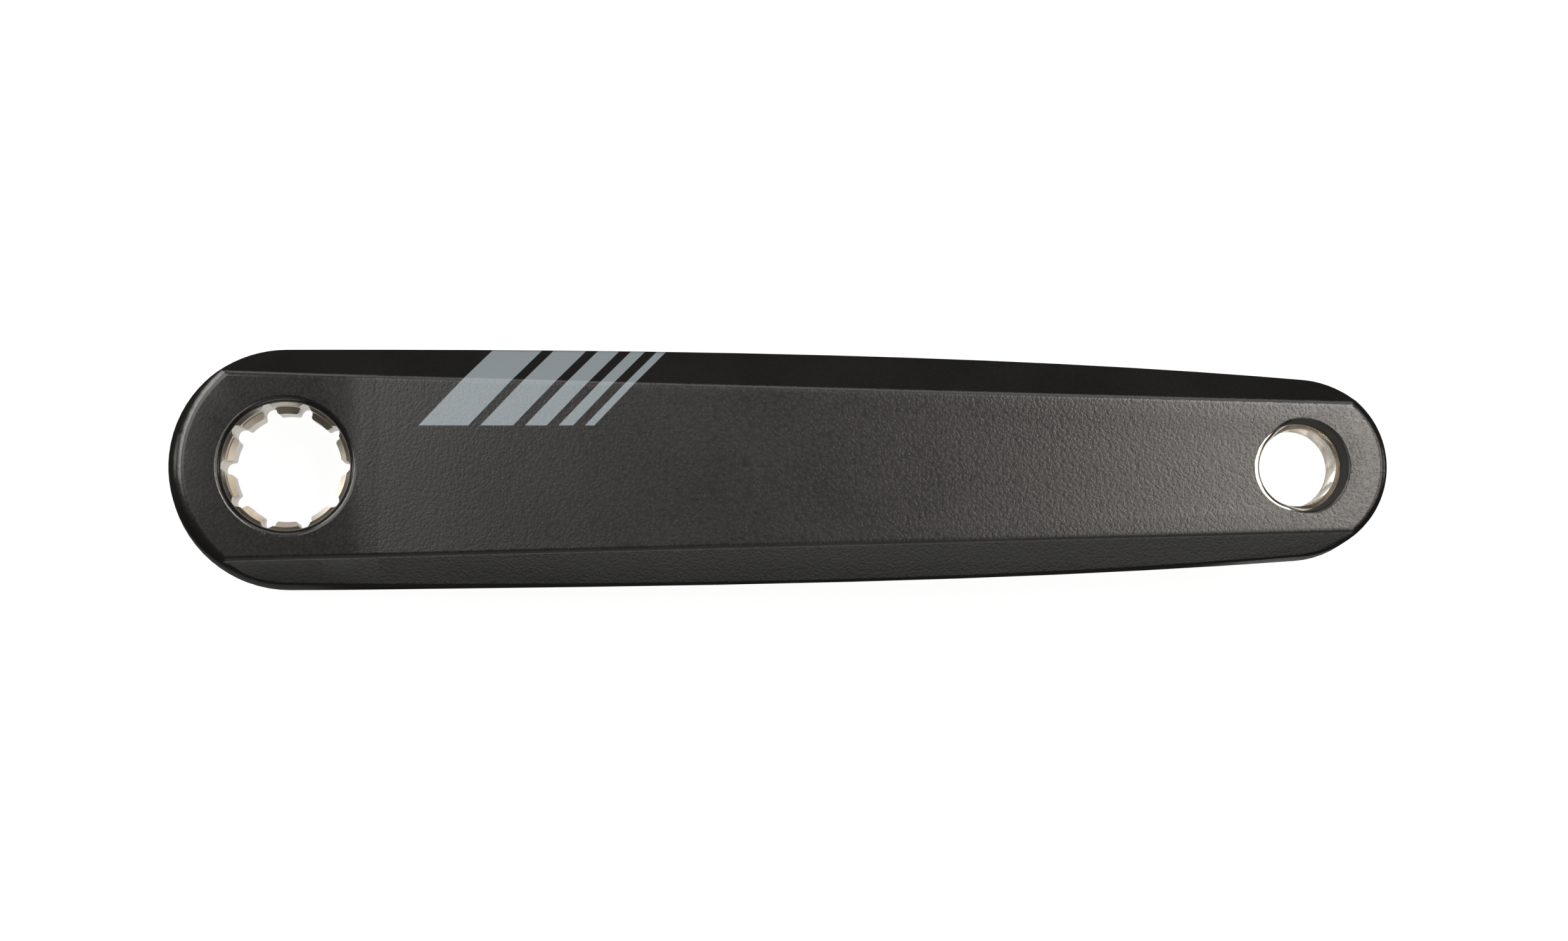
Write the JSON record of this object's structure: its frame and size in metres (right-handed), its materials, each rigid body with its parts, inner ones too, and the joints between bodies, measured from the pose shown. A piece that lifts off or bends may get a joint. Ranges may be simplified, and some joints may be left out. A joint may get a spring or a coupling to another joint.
{
  "type": "bicycle crank arm",
  "caption": "Forged bicycle crank arm with a splined bore at the wide end, bevelled long edges and a threaded pedal hole at the narrow end.",
  "frame": {"origin": "on the spline bore's axis, in the plane of the back pad that seats against the spindle's shoulder", "axes": "+X from the spline bore to the pedal hole, +Z along the bore towards the outer face, +Y across the arm"},
  "size_m": [0.206, 0.0414, 0.0356],
  "materials": {
    "black_coating": "fine-textured satin black coating on aluminium, bare metal in the spline bore and the pedal hole"
  },
  "bodies": {
    "root": {"crank_arm": "black_coating"}
  },
  "joints": []
}
